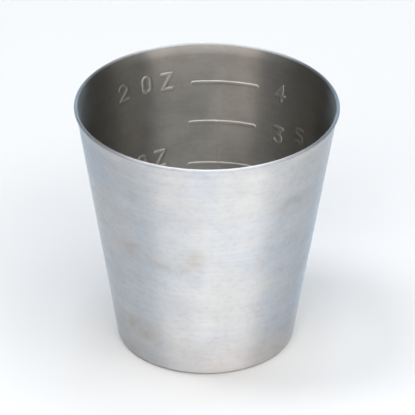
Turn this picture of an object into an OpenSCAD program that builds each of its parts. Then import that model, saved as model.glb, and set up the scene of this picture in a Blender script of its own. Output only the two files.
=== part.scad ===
// Bar jigger: a two-ounce measuring cup, deep-drawn from one disc of stainless sheet.
// Millimetres. +Z up, the origin is at the centre of the circle that the cup stands on.
// The measuring marks are on the wall at +Y and are read from inside the cup, looking along +Y.
// They are pressed into the sheet from outside: each mark is a raised ridge on the inside of
// the wall, over a groove of the same shape on the outside.

/* [Cup] */
// Diameter over the rounded edge of the rim
rim_d = 52.9; // [51.5:0.1:54.5]
// Diameter of the straight wall, carried up to the height of the rim
wall_top_d = 52.3; // [51:0.1:52.6]
// Diameter of the straight wall, carried down to the resting plane
base_d = 35.7; // [34:0.1:38]
// Height from the resting plane to the top of the rim
height = 52.3; // [50:0.1:56]
// Thickness of the sheet
sheet = 0.6; // [0.5:0.05:0.7]
// Outside radius of the bend between the wall and the base
base_bend_r = 1.1; // [0.9:0.1:2]

/* [Rim] */
// Thickness of the rounded edge of the rim
rim_edge_d = 0.66; // [0.6:0.02:0.8]
// Height over which the wall flares out to the rim
flare_h = 2.4; // [1.2:0.1:3]

/* [Base] */
// Height of the raised centre panel above the resting plane
panel_lift = 0.8; // [0.4:0.1:1.2]
// Width of the flat ring that the cup stands on
rest_ring_w = 1.6; // [1:0.1:3]

/* [Measuring marks] */
// Height of the two-ounce line
level_2oz = 44.1; // [42:0.1:46]
// Height of the one-and-a-half-ounce line
level_1_5oz = 35.6; // [34:0.1:37]
// Height of the one-ounce line
level_1oz = 26.6; // [25:0.1:28]
// Height of the half-ounce line
level_0_5oz = 15.1; // [14:0.1:17]
// Length of each measuring line
line_len = 13.1; // [10:0.1:18]
// Angle by which the lines rise to the right, as read
line_slant = 1.3; // [0:0.1:2]
// Width of every pressed stroke
stroke = 0.75; // [0.6:0.05:0.9]
// Height by which the marks stand out of the inside of the wall
relief = 0.12; // [0.1:0.01:0.3]
// Height by which the vertical line stands out of the inside of the wall
stem_relief = 0.08; // [0.06:0.01:0.3]
// Height of the figures and letters
glyph_h = 3.9; // [3.4:0.1:4.4]

/* [Hidden] */
$fn = 96;
SMALL_FN = 24;

STEEL = "#c3c6c9";
MARK_STEEL = "#d9dbdc";

// The straight wall: its slope, and its outside and inside radius at a height z
wall_slope = (wall_top_d - base_d) / 2 / height;
wall_tilt = atan(wall_slope);
wall_w = sheet / cos(wall_tilt);
function outer_r(z) = base_d / 2 + wall_slope * z;
function inner_r(z) = outer_r(z) - wall_w;

// The bend between wall and base: its centre, and where it meets the wall
bend_c = [base_d / 2 - base_bend_r * tan(45 - wall_tilt / 2), base_bend_r];
wall_normal = [cos(wall_tilt), -sin(wall_tilt)];
inner_bend_r = base_bend_r - sheet;

// The base panel is lifted by a 45 degree step inside the flat resting ring
ring_inner_r = bend_c[0] - rest_ring_w;
panel_r = ring_inner_r - panel_lift;
step_shift = sheet * tan(22.5);

// The flare runs from the straight wall to the rounded edge of the rim
rim_c = [(rim_d - rim_edge_d) / 2, height - rim_edge_d / 2];
flare_z = height - flare_h;
flare_mid_r = (outer_r(flare_z) + inner_r(flare_z)) / 2;
flare_tilt = atan((rim_c[0] - flare_mid_r) / (rim_c[1] - flare_z));
flare_half = rim_edge_d / 2 * [cos(flare_tilt), -sin(flare_tilt)];

// The marks: rows from the top down. Offsets run along the wall, + to the right as read.
// Each entry is a line's offset along the wall and its height
LINES = [[0.3, level_2oz], [0, level_1_5oz], [0, level_1oz], [0, level_0_5oz]];
stem_foot = -1.05;
stem_head = -0.35;
stem_mid = (level_2oz + level_0_5oz) / 2;
stem_half = (level_2oz - level_0_5oz) / 2;
mark_reach = 10;
half_h = (glyph_h - stroke) / 2;
small_half_h = half_h - 0.275;
low_text_lift = 2;
// Each entry is a glyph, its offset along the wall, and the height of its middle
OUNCE_GLYPHS = [
    ["2", -22.1, level_2oz + 0.9],
    ["O", -16.3, level_2oz + 0.9],
    ["Z", -11.8, level_2oz + 0.7],
    ["1", -22, level_1oz + low_text_lift],
    ["O", -17.1, level_1oz + low_text_lift],
    ["Z", -12.9, level_1oz + low_text_lift]
];
SPOON_GLYPHS = [
    ["4", 12.4, level_2oz + 0.2],
    ["3", 12.4, level_1_5oz - 0.2],
    ["S", 18.5, level_1_5oz + 1.9],
    ["2", 12, level_1oz],
    ["1", 12, level_0_5oz]
];

// ---- Strokes of the figures, drawn flat, each with round ends ----

module dot(p) {
    translate(p) circle(d = stroke, $fn = SMALL_FN);
}

module line_stroke(p, q) {
    run = q - p;
    dot(p);
    dot(q);
    translate(p)
        rotate(atan2(run[1], run[0]))
            translate([0, -stroke / 2]) square([norm(run), stroke]);
}

// A round stroke of radius r about c, from angle a0 up to a1, 180 degrees at most
module arc_stroke(c, r, a0, a1) {
    far = 3 * r;
    mid = (a0 + a1) / 2;
    dot(c + r * [cos(a0), sin(a0)]);
    dot(c + r * [cos(a1), sin(a1)]);
    translate(c)
        intersection() {
            difference() {
                circle(r = r + stroke / 2);
                circle(r = r - stroke / 2);
            }
            polygon([
                [0, 0],
                far * [cos(a0), sin(a0)],
                1.5 * far * [cos(mid), sin(mid)],
                far * [cos(a1), sin(a1)]
            ]);
        }
}

module figure_1() {
    line_stroke([0.3, -half_h], [0.3, half_h]);
    line_stroke([0.3, half_h], [-0.6, half_h - 0.8]);
}

module figure_2() {
    bowl_r = 1;
    bowl_c = [0, half_h - bowl_r];
    turn = -35;
    arc_stroke(bowl_c, bowl_r, 70, 165);
    arc_stroke(bowl_c, bowl_r, turn, 70);
    line_stroke(bowl_c + bowl_r * [cos(turn), sin(turn)], [-1.05, -half_h]);
    line_stroke([-1.05, -half_h], [1.15, -half_h]);
}

module figure_3() {
    waist = [-0.1, 0.25];
    bowl_r = (waist[1] + half_h) / 2;
    bowl_c = waist - [0, bowl_r];
    line_stroke([-1, half_h], [1, half_h]);
    line_stroke([1, half_h], waist);
    arc_stroke(bowl_c, bowl_r, -30, 90);
    arc_stroke(bowl_c, bowl_r, -150, -30);
}

module figure_4() {
    bar_y = -0.5;
    line_stroke([0.5, -half_h], [0.5, half_h]);
    line_stroke([0.5, half_h], [-1.15, bar_y]);
    line_stroke([-1.15, bar_y], [1.15, bar_y]);
}

module letter_o() {
    outer = 1.2;
    centre = glyph_h / 2 - outer;
    difference() {
        union() {
            for (side = [-1, 1]) translate([0, side * centre]) circle(r = outer);
            square([2 * outer, 2 * centre], center = true);
        }
        for (side = [-1, 1]) translate([0, side * centre]) circle(r = outer - stroke);
        square([2 * (outer - stroke), 2 * centre], center = true);
    }
}

module letter_z() {
    side = 1;
    line_stroke([-side, half_h], [side, half_h]);
    line_stroke([side, half_h], [-side, -half_h]);
    line_stroke([-side, -half_h], [side, -half_h]);
}

module letter_s() {
    curl_r = small_half_h / 2;
    reach = 0.4;
    end = 0.9;
    line_stroke([end, small_half_h], [-reach, small_half_h]);
    arc_stroke([-reach, curl_r], curl_r, 90, 180);
    arc_stroke([-reach, curl_r], curl_r, 180, 270);
    line_stroke([-reach, 0], [reach, 0]);
    arc_stroke([reach, -curl_r], curl_r, 0, 90);
    arc_stroke([reach, -curl_r], curl_r, -90, 0);
    line_stroke([reach, -small_half_h], [-end, -small_half_h]);
}

module glyph(name) {
    if (name == "1") figure_1();
    if (name == "2") figure_2();
    if (name == "3") figure_3();
    if (name == "4") figure_4();
    if (name == "O") letter_o();
    if (name == "Z") letter_z();
    if (name == "S") letter_s();
}

// ---- Placing the marks on the wall ----

// A layer of the wall's slope, between two offsets measured from its surface.
// surface_r is the radius of that surface at the resting plane.
module wall_layer(surface_r, layer) {
    low = level_0_5oz - glyph_h;
    high = level_2oz + glyph_h;
    base = surface_r + wall_slope * low;
    rise = wall_slope * (high - low);
    rotate_extrude()
        polygon([
            [base + layer[0], low],
            [base + layer[1], low],
            [base + rise + layer[1], high],
            [base + rise + layer[0], high]
        ]);
}

// Stands a flat drawing upright so that it crosses the wall at an offset and a height
module through_wall(offset, level) {
    rotate(-offset / inner_r(level) * 180 / PI)
        translate([0, inner_r(level) + mark_reach / 2, level])
            rotate([90, 0, 0])
                linear_extrude(mark_reach) children();
}

module glyph_prisms(list) {
    for (item = list) through_wall(item[1], item[2]) glyph(item[0]);
}

module line_prisms() {
    for (item = LINES)
        through_wall(item[0], item[1])
            rotate(line_slant) square([line_len, stroke], center = true);
}

module stem_prism() {
    through_wall(0, stem_mid) line_stroke([stem_foot, -stem_half], [stem_head, stem_half]);
}

module ridges(rise) {
    intersection() {
        wall_layer(inner_r(0), [-rise, 0]);
        children();
    }
}

module grooves(depth) {
    intersection() {
        wall_layer(outer_r(0), [-depth, 1]);
        children();
    }
}

// ---- The sheet's section, from the axis outwards ----

module outer_region() {
    polygon([
        [0, panel_lift],
        [panel_r, panel_lift],
        [ring_inner_r, 0],
        [bend_c[0], 0],
        bend_c + base_bend_r * wall_normal,
        [outer_r(flare_z), flare_z],
        rim_c + flare_half,
        rim_c - flare_half,
        [0, rim_c[1]]
    ]);
    translate(bend_c) circle(r = base_bend_r);
}

module inner_region() {
    polygon([
        [0, panel_lift + sheet],
        [panel_r + step_shift, panel_lift + sheet],
        [ring_inner_r + step_shift, sheet],
        [bend_c[0], sheet],
        bend_c + inner_bend_r * wall_normal,
        [inner_r(flare_z), flare_z],
        rim_c - flare_half,
        [0, height + flare_h]
    ]);
    translate(bend_c) circle(r = inner_bend_r, $fn = SMALL_FN * 2);
}

// ---- Nodes ----

module cup_shell() {
    color(STEEL)
        difference() {
            rotate_extrude() {
                difference() {
                    outer_region();
                    inner_region();
                }
                translate(rim_c) circle(d = rim_edge_d, $fn = SMALL_FN * 2);
            }
            grooves(relief) line_prisms();
            grooves(stem_relief) stem_prism();
            grooves(relief) glyph_prisms(OUNCE_GLYPHS);
            grooves(relief) glyph_prisms(SPOON_GLYPHS);
        }
}

module graduation_lines() {
    color(MARK_STEEL) {
        ridges(relief) line_prisms();
        ridges(stem_relief) stem_prism();
    }
}

module ounce_numerals() {
    color(MARK_STEEL) ridges(relief) glyph_prisms(OUNCE_GLYPHS);
}

module spoon_numerals() {
    color(MARK_STEEL) ridges(relief) glyph_prisms(SPOON_GLYPHS);
}

cup_shell();
graduation_lines();
ounce_numerals();
spoon_numerals();
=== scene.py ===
"""A two-ounce bar jigger: one drawn cup of satin steel with measuring marks pressed into its wall.

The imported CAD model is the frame. Each of its nodes is replaced by a finished mesh of the same
size in the same place: the drawn shell, and the three groups of raised marks inside it.
Lengths are in millimetres until a mesh is made, and angles in radians unless a name says deg.
"""

import math

import bpy
import numpy as np
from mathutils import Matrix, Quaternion, Vector


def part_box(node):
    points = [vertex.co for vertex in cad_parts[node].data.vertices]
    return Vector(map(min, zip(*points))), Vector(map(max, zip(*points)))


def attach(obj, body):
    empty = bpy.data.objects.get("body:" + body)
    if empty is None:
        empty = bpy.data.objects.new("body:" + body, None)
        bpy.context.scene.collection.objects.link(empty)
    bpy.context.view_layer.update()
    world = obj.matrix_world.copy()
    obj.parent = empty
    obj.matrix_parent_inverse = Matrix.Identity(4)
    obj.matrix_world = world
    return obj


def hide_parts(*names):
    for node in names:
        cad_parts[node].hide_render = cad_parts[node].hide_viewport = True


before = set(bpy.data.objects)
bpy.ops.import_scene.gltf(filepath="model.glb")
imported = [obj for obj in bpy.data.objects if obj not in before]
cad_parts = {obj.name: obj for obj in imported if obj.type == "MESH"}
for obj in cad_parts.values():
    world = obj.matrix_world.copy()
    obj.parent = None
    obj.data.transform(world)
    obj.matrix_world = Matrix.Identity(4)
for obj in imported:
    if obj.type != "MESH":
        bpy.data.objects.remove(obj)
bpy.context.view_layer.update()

MM = 0.001
TURN = 2 * math.pi
shell_low, shell_high = (Vector(corner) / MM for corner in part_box("cup_shell"))

# ---- Sizes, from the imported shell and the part's own driving dimensions ----

HEIGHT = shell_high.z
RIM_R = shell_high.x
WALL_TOP_R = RIM_R - 0.3  # the straight wall, carried up to the rim's height
BASE_R = 17.85  # the straight wall, carried down to the resting plane
SHEET = 0.6
BEND_R = 1.1  # outside radius of the bend between wall and base
RIM_EDGE = 0.66
FLARE_H = 2.4
PANEL_LIFT = 0.8
RING_W = 1.6

SLOPE = (WALL_TOP_R - BASE_R) / HEIGHT
TILT = math.atan(SLOPE)
WALL_W = SHEET / math.cos(TILT)  # the sheet's thickness, measured level

# ---- Measuring marks ----

LINE_LEVELS = {"two_oz": 44.1, "one_and_a_half_oz": 35.6, "one_oz": 26.6, "half_oz": 15.1}
LINE_HALF = 6.55
LINE_SLANT = math.radians(1.3)  # the lines rise a little to the right
TOP_LINE_SHIFT = 0.3
STEM_FOOT, STEM_HEAD = -1.05, -0.35  # the vertical line leans to the right
GLYPH_HALF = 1.575  # half the height of a glyph's centre line
SMALL_HALF = 1.3
RELIEF = 0.08
STEM_SHARE = 0.4  # the vertical line stands out less than the other marks


def line(x0, y0, x1, y1):
    return ("line", (x0, y0), (x1, y1))


def arc(x, y, radius, start_deg, end_deg):
    return ("arc", (x, y), radius, math.radians(start_deg), math.radians(end_deg))


def figure_2():
    h, r, turn = GLYPH_HALF, 1.0, -35
    end = (r * math.cos(math.radians(turn)), h - r + r * math.sin(math.radians(turn)))
    return [arc(0, h - r, r, turn, 165), line(*end, -1.05, -h), line(-1.05, -h, 1.15, -h)]


def figure_3():
    h, waist_x, waist_y = GLYPH_HALF, -0.1, 0.25
    r = (waist_y + h) / 2
    return [
        line(-1, h, 1, h),
        line(1, h, waist_x, waist_y),
        arc(waist_x, waist_y - r, r, -150, 90),
    ]


def figure_4():
    h, bar_y = GLYPH_HALF, -0.5
    return [line(0.5, -h, 0.5, h), line(0.5, h, -1.15, bar_y), line(-1.15, bar_y, 1.15, bar_y)]


def letter_o():
    r = 0.825
    y = GLYPH_HALF - r
    return [arc(0, y, r, 0, 180), arc(0, -y, r, 180, 360), line(-r, -y, -r, y), line(r, -y, r, y)]


def letter_s():
    h, reach, end = SMALL_HALF, 0.4, 0.9
    r = h / 2
    return [
        line(-reach, h, end, h),
        arc(-reach, r, r, 90, 270),
        line(-reach, 0, reach, 0),
        arc(reach, -r, r, -90, 90),
        line(-end, -h, reach, -h),
    ]


H = GLYPH_HALF
GLYPHS = {
    "1": [line(0.3, -H, 0.3, H), line(0.3, H, -0.6, H - 0.8)],
    "2": figure_2(),
    "3": figure_3(),
    "4": figure_4(),
    "O": letter_o(),
    "S": letter_s(),
    "Z": [line(-1, H, 1, H), line(1, H, -1, -H), line(-1, -H, 1, -H)],
}

TWO, ONE_HALF, ONE, HALF = LINE_LEVELS.values()
LINE_RISE = LINE_HALF * math.tan(LINE_SLANT)
LINE_STROKE = line(-LINE_HALF, -LINE_RISE, LINE_HALF, LINE_RISE)
STEM_HALF = (TWO - HALF) / 2
STEM_STROKE = line(STEM_FOOT, -STEM_HALF, STEM_HEAD, STEM_HALF)
# Each mark is a list of strokes, its offset along the wall from +Y, and the height of its middle
LADDER = [
    ([LINE_STROKE], TOP_LINE_SHIFT, TWO),
    ([LINE_STROKE], 0, ONE_HALF),
    ([LINE_STROKE], 0, ONE),
    ([LINE_STROKE], 0, HALF),
]
STEM = [([STEM_STROKE], 0, HALF + STEM_HALF)]
OUNCES = [
    (GLYPHS[name], offset, level)
    for name, offset, level in (
        ("2", -22.1, TWO + 0.9),
        ("O", -16.3, TWO + 0.9),
        ("Z", -11.8, TWO + 0.7),
        ("1", -22.0, ONE + 2),
        ("O", -17.1, ONE + 2),
        ("Z", -12.9, ONE + 2),
    )
]
SPOONS = [
    (GLYPHS[name], offset, level)
    for name, offset, level in (
        ("4", 12.4, TWO + 0.2),
        ("3", 12.4, ONE_HALF - 0.2),
        ("S", 18.5, ONE_HALF + 1.9),
        ("2", 12.0, ONE),
        ("1", 12.0, HALF),
    )
]


def outer_r(z):
    return BASE_R + SLOPE * z


def inner_r(z):
    return outer_r(z) - WALL_W


def line_distance(x, y, start, end):
    (x0, y0), (x1, y1) = start, end
    dx, dy = x1 - x0, y1 - y0
    along = np.clip(((x - x0) * dx + (y - y0) * dy) / (dx * dx + dy * dy), 0, 1)
    return np.hypot(x - x0 - along * dx, y - y0 - along * dy)


def arc_distance(x, y, centre, radius, start, end):
    px, py = x - centre[0], y - centre[1]
    mid, half = (start + end) / 2, (end - start) / 2
    off = np.abs((np.arctan2(py, px) - mid + math.pi) % TURN - math.pi)
    on_arc = np.abs(np.hypot(px, py) - radius)
    tips = [
        np.hypot(px - radius * math.cos(a), py - radius * math.sin(a)) for a in (start, end)
    ]
    return np.where(off <= half, on_arc, np.minimum(*tips))


def stroke_distance(marks, angle, z):
    """Distance on the wall from each point to the nearest stroke. Angle is clockwise from +Y."""
    far = np.full(np.shape(angle), 9.0)
    for strokes, offset, level in marks:
        radius = inner_r(level)
        x = inner_r(z) * np.sin(angle - offset / radius)
        front = np.cos(angle - offset / radius) > 0
        for kind, *shape in strokes:
            measure = line_distance if kind == "line" else arc_distance
            far = np.where(front, np.minimum(far, measure(x, z - level, *shape)), far)
    return far


def soft_step(low, high, value):
    t = np.clip((value - low) / (high - low), 0, 1)
    return t * t * (3 - 2 * t)


# ---- Meshes ----


def make_piece(name, verts, faces, node, slot, material, **shares):
    """A smooth mesh that rides the frame.

    Each share is a number from 0 to 1 at every vertex: inner is 1 on the cup's inside, rim is 1 on
    the rounded edge of its rim, and the marks' share is how strong a painted highlight lies on a
    mark there.
    """
    mesh = bpy.data.meshes.new(name)
    mesh.from_pydata([tuple(MM * c for c in v) for v in verts], [], faces)
    for share, values in shares.items():
        mesh.attributes.new(share, "FLOAT", "POINT").data.foreach_set("value", values)
    mesh.polygons.foreach_set("use_smooth", [True] * len(mesh.polygons))
    mesh.materials.append(material)
    piece = bpy.data.objects.new(name, mesh)
    bpy.context.collection.objects.link(piece)
    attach(piece, "root")
    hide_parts(node)
    return piece


def on_circle(radius, angle, z):
    """The point at an angle clockwise from +Y, seen from above."""
    return (radius * math.sin(angle), radius * math.cos(angle), z)


COLUMNS = 256  # columns of faces round the cup, away from the marks
SPLITS = 4  # how many finer columns fit in one, where the grooves are
GROOVE_ROWS_LOW, GROOVE_ROWS_HIGH = 11.0, 49.5
ROW = 0.7
GROOVE_DEPTH = 0.12
GROOVE_TOP, GROOVE_FOOT = 0.15, 0.6  # half-widths of a groove's floor and of its mouth


def curve_points(centre, radius, start_deg, end_deg, steps):
    """Points (r, z) on an arc in the cup's section. 0 degrees points outwards, 90 up."""
    turn = (end_deg - start_deg) / steps
    angles = [math.radians(start_deg + turn * k) for k in range(steps + 1)]
    return [(centre[0] + radius * math.cos(a), centre[1] + radius * math.sin(a)) for a in angles]


def spaced(start, end, steps):
    """Points (r, z) on a straight run, without its two ends."""
    return [
        tuple(a + (b - a) * k / steps for a, b in zip(start, end)) for k in range(1, steps)
    ]


def shell_section():
    """Two lists of (r, z): up the outside from the middle of the base, and down the inside."""
    tilt_deg = math.degrees(TILT)
    bend = (BASE_R - BEND_R * math.tan(math.pi / 4 - TILT / 2), BEND_R)
    ring_r = bend[0] - RING_W
    soft = 0.5  # radius on the inner side of the step's two bends
    wide = soft + SHEET
    shift = math.tan(math.radians(22.5))
    low_c = (ring_r + wide * shift, wide)
    top_c = (ring_r - PANEL_LIFT - soft * shift, PANEL_LIFT - soft)
    # below the sheet: panel, step down, resting ring, bend
    under = spaced((0, PANEL_LIFT), (top_c[0], PANEL_LIFT), 9)
    under += curve_points(top_c, soft, 90, 45, 4)
    under += curve_points(low_c, wide, 225, 270, 5)
    under += spaced((low_c[0], 0), (bend[0], 0), 3)
    under += curve_points(bend, BEND_R, -90, -tilt_deg, 8)
    # above the sheet: the same path at the sheet's thickness
    over = curve_points(bend, BEND_R - SHEET, -tilt_deg, -90, 6)
    over += spaced((bend[0], SHEET), (low_c[0], SHEET), 3)
    over += curve_points(low_c, soft, 270, 225, 4)
    over += curve_points(top_c, wide, 45, 90, 5)
    over += spaced((top_c[0], PANEL_LIFT + SHEET), (0, PANEL_LIFT + SHEET), 9)
    return under, over


def flare_section():
    """The flared lip in three runs: up its outside, over its edge, and down its inside."""
    centre = (RIM_R - RIM_EDGE / 2, HEIGHT - RIM_EDGE / 2)
    start_z = HEIGHT - FLARE_H
    rise = centre[1] - start_z
    mid = (outer_r(start_z) + inner_r(start_z)) / 2
    swing = centre[0] - mid - SLOPE * rise  # how far the lip leans out of the wall's line
    steps = 10
    outside, inside = [], []
    for k in range(1, steps + 1):
        s = k / steps
        r, z = mid + SLOPE * rise * s + swing * s ** 1.6, start_z + rise * s
        lean = math.atan(SLOPE + 1.6 * swing * s**0.6 / rise)
        half = (SHEET + (RIM_EDGE - SHEET) * s) / 2
        outside.append((r + half * math.cos(lean), z - half * math.sin(lean)))
        inside.append((r - half * math.cos(lean), z + half * math.sin(lean)))
    lean_deg = math.degrees(lean)
    edge = curve_points(centre, RIM_EDGE / 2, -lean_deg, 180 - lean_deg, 14)
    return outside[:-1], edge, inside[-2::-1]


def shell_piece(material):
    """The drawn sheet as one closed surface. Its outer wall is split finer round the grooves."""
    verts, faces, inner, rim, made = [], [], [], [], {}
    fine = COLUMNS * SPLITS

    def vertex(column, key, radius, z):
        """A vertex on a fine column, made once. Vertices on the axis are shared by all columns."""
        name = (key,) if radius == 0 else (column % fine, key)
        if name not in made:
            made[name] = len(verts)
            verts.append(on_circle(radius, TURN * column / fine, z))
            inner.append(float(key[0].startswith("inner")))
            rim.append(float(key[0].endswith("edge")))
        return made[name]

    under, over = shell_section()
    rows = round((GROOVE_ROWS_HIGH - GROOVE_ROWS_LOW) / ROW)
    row_h = (GROOVE_ROWS_HIGH - GROOVE_ROWS_LOW) / rows
    low_z = GROOVE_ROWS_LOW
    columns = np.arange(fine + 1)
    heights = low_z + row_h / SPLITS * np.arange(rows * SPLITS + 1)
    angle, z = np.meshgrid(TURN * columns / fine, heights, indexing="ij")
    marks = stroke_distance(LADDER + OUNCES + SPOONS, angle, z)
    stem = stroke_distance(STEM, angle, z)
    distance = np.minimum(marks, stem)
    depth = GROOVE_DEPTH * (1 - soft_step(GROOVE_TOP, GROOVE_FOOT, marks))
    stem_depth = STEM_SHARE * GROOVE_DEPTH * (1 - soft_step(GROOVE_TOP, GROOVE_FOOT, stem))
    depth = np.maximum(depth, stem_depth)
    near = GROOVE_FOOT + ROW

    def split(i, k):
        """Is this coarse cell close enough to a groove to be split?"""
        cell = distance[i * SPLITS : (i + 1) * SPLITS + 1, k * SPLITS : (k + 1) * SPLITS + 1]
        return 0 <= k < rows and cell.min() < near - ROW / 2

    split_cells = {(i, k) for i in range(COLUMNS) for k in range(rows) if split(i, k)}

    def wall_vertex(i, k):
        i = i % fine
        return vertex(i, ("wall", k), outer_r(heights[k]) - depth[i, k], heights[k])

    def cell_side(i, k, di, dk, neighbour):
        """One side of a coarse cell, less its last corner, with every fine point that it needs."""
        steps = SPLITS if neighbour in split_cells else 1
        size = SPLITS // steps
        return [wall_vertex(i + di * size * s, k + dk * size * s) for s in range(steps)]

    for i in range(COLUMNS):
        for k in range(rows):
            x, y = i * SPLITS, k * SPLITS
            if (i, k) in split_cells:
                for a in range(x, x + SPLITS):
                    for b in range(y, y + SPLITS):
                        corners = ((a, b), (a, b + 1), (a + 1, b + 1), (a + 1, b))
                        faces.append([wall_vertex(*corner) for corner in corners])
                continue
            left, right = ((i - 1) % COLUMNS, k), ((i + 1) % COLUMNS, k)
            loop = cell_side(x, y, 0, 1, left)
            loop += cell_side(x, y + SPLITS, 1, 0, (i, k + 1))
            loop += cell_side(x + SPLITS, y + SPLITS, 0, -1, right)
            loop += cell_side(x + SPLITS, y, -1, 0, (i, k - 1))
            faces.append(loop)

    low_r, high_r = outer_r(low_z), outer_r(heights[-1])
    flare_z = HEIGHT - FLARE_H
    rise = [("outer base", *p) for p in under]
    rise += [("outer wall", *p) for p in spaced(under[-1], (low_r, low_z), 14)]
    outside_lip, edge, inside_lip = flare_section()
    middle = len(edge) // 2
    lip = [("outer lip", outer_r(flare_z), flare_z)]
    lip += [("outer lip", *p) for p in outside_lip]
    lip += [("outer edge", *p) for p in edge[:middle]]
    lip += [("inner edge", *p) for p in edge[middle:]]
    lip += [("inner lip", *p) for p in inside_lip]
    lip += [("inner lip", inner_r(flare_z), flare_z)]
    fall = [("inner wall", *p) for p in spaced((inner_r(flare_z), flare_z), over[0], 60)]
    fall += [("inner base", *p) for p in over]
    axis_low, axis_high = ("outer axis", 0, PANEL_LIFT), ("inner axis", 0, PANEL_LIFT + SHEET)

    def ring_run(path, first=None, last=None):
        """Bands of faces along a path of (name, r, z), joined on to rings that already exist."""
        rings = [first] if first else []
        for number, (name, r, z) in enumerate(path):
            rings.append(
                [vertex(i * SPLITS, (name, number), r, z) for i in range(COLUMNS)]
            )
        rings += [last] if last else []
        for a, b in zip(rings, rings[1:]):
            for i in range(COLUMNS):
                j = (i + 1) % COLUMNS
                corners = [a[i], b[i], b[j], a[j]]
                faces.append(list(dict.fromkeys(corners)))

    wall_low = [wall_vertex(i * SPLITS, 0) for i in range(COLUMNS)]
    wall_high = [wall_vertex(i * SPLITS, rows * SPLITS) for i in range(COLUMNS)]
    ring_run([axis_low] + rise, last=wall_low)
    ring_run(lip + fall + [axis_high], first=wall_high)
    return make_piece(
        "jigger_shell", verts, faces, "cup_shell", "satin_steel", material, inner=inner, rim=rim
    )


RIDGE_STEP = 0.09  # spacing of the raised marks' surface points
RIDGE_TOP, RIDGE_FOOT = 0.2, 0.52  # half-widths of a ridge's crest and of its foot
SHOULDER, SHOULDER_REACH = 0.37, 0.16  # where a painted highlight lies on a line's shoulders, and how far it reaches
GLYPH_HIGHLIGHT = 0.55  # how strong the painted highlight on figures and letters is, compared with the lines
SEAT = 0.12  # how deep a raised mark is bedded in the sheet
FLUSH = 0.006  # how far its feathered edge lies below the surface of the wall


def ridge_piece(name, node, marks, material, faint=None):
    """Raised marks on the inside of the wall, each a closed solid that fades into the wall.

    Figures and letters get a painted highlight along their crests. Marks that have faint ones among
    them are the measuring lines: those get a painted highlight along both shoulders, and the faint
    ones none.
    """
    step = RIDGE_STEP / inner_r(TWO)
    offsets = [offset / inner_r(level) for _, offset, level in marks]
    reach = (LINE_HALF + 2) / inner_r(HALF)
    first = math.floor((min(offsets) - reach) / step)
    last = math.ceil((max(offsets) + reach) / step)
    columns = np.arange(first, last + 1)
    heights = np.arange(HALF - GLYPH_HALF - 1, TWO + GLYPH_HALF + 2, RIDGE_STEP)
    angle, z = np.meshgrid(step * columns, heights, indexing="ij")
    distance = stroke_distance(marks, angle, z)
    height = RELIEF * (1 - soft_step(RIDGE_TOP, RIDGE_FOOT, distance))
    # painted highlight: figures and letters brighter along their crests, lines along both shoulders
    crest_share = GLYPH_HIGHLIGHT * height / RELIEF
    if faint:
        crest_share = 1 - soft_step(0, SHOULDER_REACH, np.abs(distance - SHOULDER))
        faint_distance = stroke_distance(faint, angle, z)
        low = STEM_SHARE * RELIEF * (1 - soft_step(RIDGE_TOP, RIDGE_FOOT, faint_distance))
        height = np.maximum(height, low)
        distance = np.minimum(distance, faint_distance)
    height = height - FLUSH
    inside = distance < RIDGE_FOOT + 1.5 * RIDGE_STEP
    cells = inside[:-1, :-1] & inside[1:, :-1] & inside[:-1, 1:] & inside[1:, 1:]
    # two cells that touch only at a corner would pinch the solid there, so both gaps are filled
    falling = cells[:-1, :-1] & cells[1:, 1:] & ~cells[1:, :-1] & ~cells[:-1, 1:]
    rising = cells[1:, :-1] & cells[:-1, 1:] & ~cells[:-1, :-1] & ~cells[1:, 1:]
    cells[1:, :-1] |= falling
    cells[:-1, :-1] |= rising
    verts, faces, crest, made = [], [], [], {}

    def vertex(i, k, top):
        if (i, k, top) not in made:
            made[i, k, top] = len(verts)
            lift = height[i, k] if top else -SEAT
            verts.append(on_circle(inner_r(heights[k]) - lift, step * columns[i], heights[k]))
            crest.append(crest_share[i, k] if top else 0.0)
        return made[i, k, top]

    def filled(i, k):
        return 0 <= i < cells.shape[0] and 0 <= k < cells.shape[1] and cells[i, k]

    for i, k in zip(*np.nonzero(cells)):
        corners = [(i, k), (i + 1, k), (i + 1, k + 1), (i, k + 1)]
        faces.append([vertex(*c, True) for c in corners])
        faces.append([vertex(*c, False) for c in reversed(corners)])
        beside = [(i, k - 1), (i + 1, k), (i, k + 1), (i - 1, k)]
        for side, other in enumerate(beside):
            if not filled(*other):
                a, b = corners[side], corners[(side + 1) % 4]
                quad = ((a, False), (b, False), (b, True), (a, True))
                faces.append([vertex(*c, top) for c, top in quad])
    inner = [1.0] * len(verts)
    return make_piece(
        name, verts, faces, node, "pressed_marks", material, inner=inner, crest=crest
    )


# ---- Materials ----

OUTSIDE_COOL = (0.63, 0.67, 0.725, 1)  # the outside drifts between these two
OUTSIDE_WARM = (0.7, 0.71, 0.722, 1)
# darker than the outside: painted shade inside the cup
INSIDE_SHADE_TONE = (0.332, 0.322, 0.302, 1)
HIGHLIGHT_TONE = (0.53, 0.52, 0.5, 1)  # painted highlight on the raised marks
RIM_TONE = (0.61, 0.63, 0.655, 1)
FOOT_TINT = (0.96, 0.915, 0.885, 1)  # close to the base the outside is warmer and duller
STAIN_TINT = (0.885, 0.84, 0.795, 1)
ANISOTROPY = 0.9
DRIFT_PLACE = 47.0  # which part of the noise the drift is taken from
QUARTER_TURN = 0.25  # turns the stretched highlight across the brushing
# Faint brown stains on the outside: angle clockwise from +Y, height, half-width and half-height
STAINS = (
    (212, 28.8, 6.0, 3.2),
    (201, 28.5, 6.0, 3.0),
    (190, 27.3, 7.0, 2.6),
    (178, 29.5, 4.0, 4.0),
    (128, 39.5, 5.0, 3.5),
    (214, 9.0, 6.0, 4.0),
)


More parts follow.
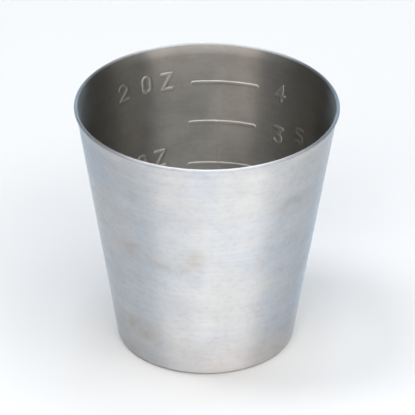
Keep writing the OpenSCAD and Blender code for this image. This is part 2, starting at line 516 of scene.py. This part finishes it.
class Shading:
    """One material's nodes, with short ways to add them. Places are in metres on the object."""

    def __init__(self, name):
        self.material = bpy.data.materials.new(name)
        self.material.use_nodes = True
        self.tree = self.material.node_tree
        self.shader = self.tree.nodes["Principled BSDF"]
        self.place = self.add("ShaderNodeTexCoord").outputs["Object"]
        split = self.add("ShaderNodeSeparateXYZ", {"Vector": self.place})
        self.height = split.outputs["Z"]

    def add(self, kind, inputs=None, **settings):
        node = self.tree.nodes.new(kind)
        for name, value in settings.items():
            setattr(node, name, value)
        for name, value in (inputs or {}).items():
            self.feed(node.inputs[name], value)
        return node

    def feed(self, socket, value):
        if isinstance(value, bpy.types.NodeSocket):
            self.tree.links.new(value, socket)
        else:
            socket.default_value = value

    def noise(self, per_metre, detail, shift=0.0):
        """Noise from 0 to 1, with its own count of features per metre along x, y and z."""
        stretched = self.add(
            "ShaderNodeMapping",
            {"Vector": self.place, "Location": (shift, shift, shift), "Scale": per_metre},
        )
        noise = self.add(
            "ShaderNodeTexNoise",
            {"Vector": stretched.outputs["Vector"], "Scale": 1.0, "Detail": detail},
        )
        return noise.outputs["Fac"]

    def remap(self, value, low, high, to_low, to_high):
        """Carries low..high over to to_low..to_high, eased and held at both ends."""
        node = self.add(
            "ShaderNodeMapRange",
            {
                "Value": value,
                "From Min": low,
                "From Max": high,
                "To Min": to_low,
                "To Max": to_high,
            },
            interpolation_type="SMOOTHSTEP",
        )
        return node.outputs["Result"]

    def math(self, operation, a, b):
        node = self.add("ShaderNodeMath", operation=operation)
        self.feed(node.inputs[0], a)
        self.feed(node.inputs[1], b)
        return node.outputs[0]

    def mix(self, factor, a, b, blend_type="MIX"):
        """Colour a going over to colour b. With MULTIPLY, b tints a."""
        node = self.add("ShaderNodeMix", data_type="RGBA", blend_type=blend_type)
        for place, value in ((0, factor), (6, a), (7, b)):
            self.feed(node.inputs[place], value)
        return node.outputs[2]

    def patch(self, angle_deg, z, wide, tall):
        """1 at a point on the wall, easing to 0 at an ellipsoid about it. Sizes in millimetres."""
        angle = math.radians(angle_deg)
        centre = [MM * c for c in on_circle(outer_r(z), angle, z)]
        away = self.add("ShaderNodeVectorMath", operation="SUBTRACT")
        self.feed(away.inputs[0], self.place)
        self.feed(away.inputs[1], centre)
        scaled = self.add("ShaderNodeVectorMath", operation="DIVIDE")
        self.feed(scaled.inputs[0], away.outputs["Vector"])
        self.feed(scaled.inputs[1], (MM * wide, MM * wide, MM * tall))
        length = self.add("ShaderNodeVectorMath", operation="LENGTH")
        self.feed(length.inputs[0], scaled.outputs["Vector"])
        return self.remap(length.outputs["Value"], 0.2, 1.0, 1.0, 0.0)


def brushed_steel(name, highlighted=False):
    """Satin stainless steel, brushed round the cup. Its inside is darker, which is painted shade
    inside the cup, and warmer.

    With it set, this is the steel of the raised marks, whose crests are a little brighter from a
    painted highlight.
    """
    look = Shading(name)
    hair = look.noise((110, 110, 4200), 2)  # single brush lines
    streak = look.noise((60, 60, 1800), 3, 5.0)
    band = look.noise((60, 60, 260), 3, 9.0)
    cloud = look.noise((190, 190, 260), 5, 13.0)
    fleck = look.noise((800, 800, 1100), 3, 17.0)
    drift = look.noise((40, 40, 55), 3, DRIFT_PLACE)
    inner = look.add("ShaderNodeAttribute", attribute_name="inner").outputs["Fac"]
    rim = look.add("ShaderNodeAttribute", attribute_name="rim").outputs["Fac"]

    tone = look.remap(streak, 0.3, 0.7, 0.985, 1.015)
    tone = look.math("MULTIPLY", tone, look.remap(band, 0.3, 0.7, 0.985, 1.015))
    tone = look.math("MULTIPLY", tone, look.remap(cloud, 0.32, 0.68, 0.965, 1.035))
    tone = look.math("MULTIPLY", tone, look.remap(hair, 0.3, 0.7, 0.983, 1.013))
    tone = look.math("MULTIPLY", tone, look.remap(fleck, 0.3, 0.55, 0.95, 1.01))

    foot = look.remap(look.height, 0.003, 0.013, 0.75, 0.0)
    outside = look.mix(look.remap(drift, 0.38, 0.6, 0.0, 1.0), OUTSIDE_COOL, OUTSIDE_WARM)
    outside = look.mix(foot, outside, FOOT_TINT, "MULTIPLY")
    stain = look.patch(*STAINS[0])
    for place in STAINS[1:]:
        stain = look.math("MAXIMUM", stain, look.patch(*place))
    stain = look.math("MULTIPLY", stain, look.remap(cloud, 0.36, 0.6, 0.0, 1.0))
    outside = look.mix(stain, outside, STAIN_TINT, "MULTIPLY")
    inside = INSIDE_SHADE_TONE
    # a painted highlight on the marks' crests and shoulders
    if highlighted:
        crest = look.add("ShaderNodeAttribute", attribute_name="crest").outputs["Fac"]
        inside = look.mix(crest, INSIDE_SHADE_TONE, HIGHLIGHT_TONE)
    # the inside takes the darker tone, which is painted shade inside the cup
    colour = look.mix(inner, outside, inside)
    colour = look.mix(rim, colour, RIM_TONE)
    shade = look.add("ShaderNodeCombineColor", {"Red": tone, "Green": tone, "Blue": tone})
    look.feed(
        look.shader.inputs["Base Color"],
        look.mix(1.0, colour, shade.outputs["Color"], "MULTIPLY"),
    )

    rough = look.remap(inner, 0.0, 1.0, 0.5, 0.4)
    rough = look.math("ADD", rough, look.math("MULTIPLY", rim, 0.25))
    rough = look.math("ADD", rough, look.remap(cloud, 0.3, 0.7, -0.012, 0.012))
    rough = look.math("ADD", rough, look.remap(streak, 0.3, 0.7, 0.01, -0.01))
    look.feed(look.shader.inputs["Roughness"], rough)

    relief = look.math("ADD", hair, look.math("MULTIPLY", streak, 0.4))
    bump = look.add(
        "ShaderNodeBump", {"Strength": 0.1, "Distance": 0.00002, "Height": relief}
    )
    look.feed(look.shader.inputs["Normal"], bump.outputs["Normal"])
    # the brushing runs level round the cup's axis, which is the same line for every piece
    level = look.add("ShaderNodeVectorMath", operation="CROSS_PRODUCT")
    look.feed(level.inputs[0], (0, 0, 1))
    look.feed(level.inputs[1], look.place)
    brushing = look.add(
        "ShaderNodeVectorTransform",
        {"Vector": level.outputs["Vector"]},
        vector_type="VECTOR",
        convert_from="OBJECT",
        convert_to="WORLD",
    )
    look.feed(look.shader.inputs["Tangent"], brushing.outputs["Vector"])
    look.shader.inputs["Metallic"].default_value = 1.0
    look.shader.inputs["Anisotropic"].default_value = ANISOTROPY
    look.shader.inputs["Anisotropic Rotation"].default_value = QUARTER_TURN
    return look.material


# ---- Stage, light and camera ----

CAMERA_DISTANCE = 907.1
CAMERA_RISE_DEG = 30.483
CAMERA_TURN_DEG = 8.2
CAMERA_ROLL_DEG = 0.334
AIM_RIGHT, AIM_UP = 0.226, 2.094  # where the view's middle falls, off the cup's middle
FOCAL_LENGTH = 390.36
SENSOR = 36.0


def place_camera():
    rise, turn, roll = (
        math.radians(a) for a in (CAMERA_RISE_DEG, CAMERA_TURN_DEG, CAMERA_ROLL_DEG)
    )
    middle = Vector((0, 0, HEIGHT / 2))
    back = Vector(
        (math.sin(turn) * math.cos(rise), -math.cos(turn) * math.cos(rise), math.sin(rise))
    )
    right = Vector((math.cos(turn), math.sin(turn), 0))
    up = back.cross(right)
    place = middle + CAMERA_DISTANCE * back
    look = (middle + AIM_RIGHT * right + AIM_UP * up - place).normalized()
    data = bpy.data.cameras.new("camera")
    data.lens = FOCAL_LENGTH
    data.sensor_width = SENSOR
    data.clip_start, data.clip_end = 0.01, 20
    camera = bpy.data.objects.new("camera", data)
    bpy.context.collection.objects.link(camera)
    camera.location = place * MM
    camera.rotation_mode = "QUATERNION"
    camera.rotation_quaternion = look.to_track_quat("-Z", "Y") @ Quaternion((0, 0, 1), roll)
    bpy.context.scene.camera = camera


FLOOR_HALF = 3.0  # half the floor's width, in metres
FLOOR_TONE = (0.6, 0.605, 0.612, 1)
FLOOR_ROUGHNESS = 0.9


def make_floor():
    corners = [(x * FLOOR_HALF, y * FLOOR_HALF, 0) for x, y in ((-1, -1), (1, -1), (1, 1), (-1, 1))]
    mesh = bpy.data.meshes.new("floor")
    mesh.from_pydata(corners, [], [(0, 1, 2, 3)])
    material = bpy.data.materials.new("floor_paper")
    material.use_nodes = True
    shader = material.node_tree.nodes["Principled BSDF"]
    shader.inputs["Base Color"].default_value = FLOOR_TONE
    shader.inputs["Roughness"].default_value = FLOOR_ROUGHNESS
    mesh.materials.append(material)
    floor = bpy.data.objects.new("floor", mesh)
    bpy.context.collection.objects.link(floor)


NEUTRAL = (1, 1, 1)
PALE_COOL = (0.92, 0.97, 1)
COOL = (0.7, 0.86, 1)
WARM = (1, 0.91, 0.83)
PALE_WARM = (1, 0.98, 0.955)
LIGHT_DISTANCE = 1.2  # metres from the cup's middle to every panel
# Soft panels round the cup. Each has a direction (degrees to the right of the front, and up),
# a width and a height in degrees, and how bright and what colour it is.
PANELS = {
    "front_low": (20, 8, 40, 16, 0.6, WARM),
    "front_low_right": (50, 8, 20, 16, 0.75, WARM),
    "right_low": (80, 8, 40, 16, 0.1, WARM),
    "front_middle_left": (330, 26, 20, 20, 1.2, WARM),
    "front_middle": (350, 26, 20, 20, 0.85, WARM),
    "front_upper": (10, 46, 40, 20, 1.95, PALE_WARM),
    "front_upper_left": (332, 46, 36, 20, 0.6, PALE_WARM),
    "front_upper_right": (50, 46, 40, 20, 1.6, PALE_WARM),
    "right_upper": (90, 46, 40, 20, 0.5, PALE_WARM),
    "overhead_right": (80, 68, 50, 24, 1.3, NEUTRAL),
    "overhead_back": (155, 68, 60, 24, 0.95, NEUTRAL),
    "overhead_left": (276, 68, 40, 24, 4.1, NEUTRAL),
    "overhead": (0, 90, 24, 24, 3.2, COOL),
    "backdrop": (186, 15, 96, 30, 0.5, COOL),
}
SKY_TONE = (0.5, 0.75, 1, 1)  # the dim light from everywhere else
SKY_STRENGTH = 0.05
PANEL_RADIANCE = 10.0  # watts per square metre of a panel whose brightness is 1


def soft_panel(name, azimuth, rise, width, height, bright, colour):
    around, up = math.radians(azimuth), math.radians(rise)
    out = Vector(
        (math.sin(around) * math.cos(up), -math.cos(around) * math.cos(up), math.sin(up))
    )
    data = bpy.data.lights.new(name, "AREA")
    data.shape = "RECTANGLE"
    narrowing = max(math.cos(up), math.sin(math.radians(width / 2)))
    data.size = 2 * LIGHT_DISTANCE * math.tan(math.radians(width / 2)) * narrowing
    data.size_y = 2 * LIGHT_DISTANCE * math.tan(math.radians(height / 2))
    data.energy = PANEL_RADIANCE * bright * data.size * data.size_y
    data.color = colour
    light = bpy.data.objects.new(name, data)
    light.location = LIGHT_DISTANCE * out + Vector((0, 0, MM * HEIGHT / 2))
    light.rotation_mode = "QUATERNION"
    light.rotation_quaternion = out.to_track_quat("Z", "Y")
    light.visible_camera = False
    bpy.context.collection.objects.link(light)


def light_scene():
    for name, panel in PANELS.items():
        soft_panel(name, *panel)
    world = bpy.data.worlds.new("studio")
    bpy.context.scene.world = world
    world.use_nodes = True
    background = world.node_tree.nodes["Background"]
    background.inputs["Color"].default_value = SKY_TONE
    background.inputs["Strength"].default_value = SKY_STRENGTH
    bpy.context.scene.view_settings.view_transform = "Standard"


place_camera()
make_floor()
light_scene()
shell_piece(brushed_steel("satin_steel"))
# the raised marks' steel, with a painted highlight along their crests
highlight_steel = brushed_steel("highlight_steel", highlighted=True)
ridge_piece("graduation_ridges", "graduation_lines", LADDER, highlight_steel, faint=STEM)
ridge_piece("ounce_figures", "ounce_numerals", OUNCES, highlight_steel)
ridge_piece("spoon_figures", "spoon_numerals", SPOONS, highlight_steel)
